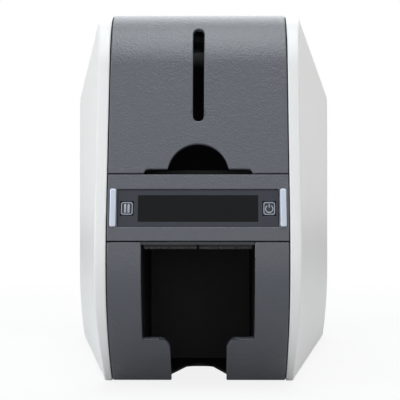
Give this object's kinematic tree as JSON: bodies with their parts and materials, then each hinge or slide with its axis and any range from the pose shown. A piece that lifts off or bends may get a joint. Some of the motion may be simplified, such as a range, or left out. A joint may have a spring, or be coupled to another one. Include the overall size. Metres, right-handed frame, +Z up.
{
  "type": "id card printer",
  "caption": "Desktop plastic card printer with flared side covers, hinged hopper cover, top lid, control panel, keys and front output tray.",
  "frame": {"origin": "centre of the footprint on the surface it stands on", "axes": "+Z up, the control panel faces -Y, +X to the right seen from the front"},
  "size_m": [0.196, 0.3934, 0.221],
  "materials": {
    "shell_white": "satin moulded plastic",
    "charcoal_plastic": "fine leather-like grain",
    "black_plastic": "fine grain",
    "panel_glass": "polished, smoked",
    "key_face": "polished",
    "display": "polished",
    "circuit_board": "solder mask",
    "satin_trim": "satin silver",
    "gloss_lip": "gloss",
    "brush_fibre": "carbon fibre bristles",
    "steel_sheet": "galvanised",
    "steel_rod": "turned",
    "bronze": "sintered",
    "roller_rubber": "ground rubber",
    "shaft_steel": "ground",
    "cleaning_blue": "tacky silicone",
    "cassette_plastic": "moulded",
    "ribbon_film": "glossy film",
    "gear_plastic": "moulded acetal",
    "motor_black": "satin black",
    "heatsink": "extruded",
    "carrier_plastic": "moulded",
    "belt_rubber": "moulded neoprene",
    "connector": "moulded",
    "socket_metal": "plated",
    "foot_rubber": "moulded"
  },
  "bodies": {
    "chassis": {"side_cover_left": "shell_white", "side_cover_right": "shell_white", "control_bezel": "charcoal_plastic", "front_bezel": "charcoal_plastic", "rear_cover": "charcoal_plastic", "base": "black_plastic", "output_tray": "black_plastic", "panel_glass": "panel_glass", "display_module": "display", "control_board": "circuit_board", "trim_bar_left": "satin_trim", "trim_bar_right": "satin_trim", "exit_lip": "gloss_lip", "exit_brush": "brush_fibre", "frame_left": "steel_sheet", "frame_right": "steel_sheet", "tie_rods": "steel_rod", "hopper_pins": "steel_rod", "lid_pins": "steel_rod", "hopper_bin": "black_plastic", "exit_chute": "black_plastic", "shaft_bushes": "bronze", "cassette_frame": "cassette_plastic", "ribbon_film": "ribbon_film", "ribbon_motor": "motor_black", "drive_motor": "motor_black", "drive_belt": "belt_rubber", "front_belt": "belt_rubber", "main_board": "circuit_board", "power_inlet": "connector", "data_sockets": "socket_metal", "feet": "foot_rubber", "case_screws": "steel_rod"},
    "hopper_cover": {"hopper_cover": "charcoal_plastic"},
    "top_lid": {"top_lid": "charcoal_plastic", "head_carrier": "carrier_plastic", "print_head": "heatsink"},
    "pause_key": {"pause_key": "key_face"},
    "power_key": {"power_key": "key_face"},
    "pickup": {"pickup_roller": "roller_rubber", "pickup_shaft": "shaft_steel"},
    "exit": {"exit_roller": "roller_rubber", "exit_shaft": "shaft_steel"},
    "feed": {"feed_roller": "roller_rubber", "feed_shaft": "shaft_steel"},
    "platen": {"platen_roller": "roller_rubber", "platen_shaft": "shaft_steel"},
    "rear_feed": {"rear_roller": "roller_rubber", "rear_shaft": "shaft_steel"},
    "feed_idler": {"feed_pinch": "shaft_steel"},
    "rear_idler": {"rear_pinch": "shaft_steel"},
    "cleaner": {"cleaning_roller": "cleaning_blue"},
    "motor": {"motor_pulley": "shaft_steel"},
    "takeup": {"takeup_spool": "ribbon_film", "takeup_gear": "gear_plastic"},
    "supply": {"supply_spool": "ribbon_film"},
    "pinion": {"ribbon_pinion": "gear_plastic"}
  },
  "joints": [
    {"name": "hopper_cover_hinge", "type": "hinge", "parent": "chassis", "child": "hopper_cover", "pos_m": [0, -0.076, 0.21147], "axis": [-1, 0, 0], "range_deg": [0, 75]},
    {"name": "top_lid_hinge", "type": "hinge", "parent": "chassis", "child": "top_lid", "pos_m": [0, 0.178, 0.20482], "axis": [-1, 0, 0], "range_deg": [0, 75]},
    {"name": "pause_key_press", "type": "slide", "parent": "chassis", "child": "pause_key", "axis": [0, 0.9521, -0.3059], "range_m": [0, 0.0006], "stiffness_N_per_m": 800},
    {"name": "power_key_press", "type": "slide", "parent": "chassis", "child": "power_key", "axis": [0, 0.9521, -0.3059], "range_m": [0, 0.0006], "stiffness_N_per_m": 800},
    {"name": "platen_spin", "type": "hinge", "parent": "chassis", "child": "platen", "pos_m": [0, 0.018, 0.105], "axis": [1, 0, 0], "continuous": true},
    {"name": "pickup_spin", "type": "hinge", "parent": "chassis", "child": "pickup", "pos_m": [0, -0.098, 0.12], "axis": [1, 0, 0], "continuous": true},
    {"name": "exit_spin", "type": "hinge", "parent": "chassis", "child": "exit", "pos_m": [0, -0.08753, 0.08927], "axis": [1, 0, 0], "continuous": true},
    {"name": "feed_spin", "type": "hinge", "parent": "chassis", "child": "feed", "pos_m": [0, -0.031, 0.106], "axis": [1, 0, 0], "continuous": true},
    {"name": "rear_feed_spin", "type": "hinge", "parent": "chassis", "child": "rear_feed", "pos_m": [0, 0.066, 0.106], "axis": [1, 0, 0], "continuous": true},
    {"name": "feed_idler_spin", "type": "hinge", "parent": "chassis", "child": "feed_idler", "pos_m": [0, -0.031, 0.1208], "axis": [1, 0, 0], "continuous": true},
    {"name": "rear_idler_spin", "type": "hinge", "parent": "chassis", "child": "rear_idler", "pos_m": [0, 0.066, 0.1208], "axis": [1, 0, 0], "continuous": true},
    {"name": "cleaner_spin", "type": "hinge", "parent": "chassis", "child": "cleaner", "pos_m": [0, -0.011, 0.1208], "axis": [1, 0, 0], "continuous": true},
    {"name": "motor_spin", "type": "hinge", "parent": "chassis", "child": "motor", "pos_m": [0, 0.018, 0.059], "axis": [1, 0, 0], "continuous": true},
    {"name": "takeup_spin", "type": "hinge", "parent": "chassis", "child": "takeup", "pos_m": [0, -0.028, 0.152], "axis": [1, 0, 0], "continuous": true},
    {"name": "supply_spin", "type": "hinge", "parent": "chassis", "child": "supply", "pos_m": [0, 0.064, 0.152], "axis": [1, 0, 0], "continuous": true},
    {"name": "pinion_spin", "type": "hinge", "parent": "chassis", "child": "pinion", "pos_m": [0, -0.04705, 0.141], "axis": [1, 0, 0], "continuous": true}
  ],
  "couplings": [
    {"joint": "pickup_spin", "follows": "platen_spin", "ratio": 1},
    {"joint": "exit_spin", "follows": "platen_spin", "ratio": 1},
    {"joint": "feed_spin", "follows": "platen_spin", "ratio": 1},
    {"joint": "rear_feed_spin", "follows": "platen_spin", "ratio": 1},
    {"joint": "motor_spin", "follows": "platen_spin", "ratio": 1.2},
    {"joint": "feed_idler_spin", "follows": "platen_spin", "ratio": -1.3333},
    {"joint": "rear_idler_spin", "follows": "platen_spin", "ratio": -1.3333},
    {"joint": "cleaner_spin", "follows": "platen_spin", "ratio": -1.3333},
    {"joint": "supply_spin", "follows": "takeup_spin", "ratio": 0.75},
    {"joint": "pinion_spin", "follows": "takeup_spin", "ratio": -2.6667}
  ]
}
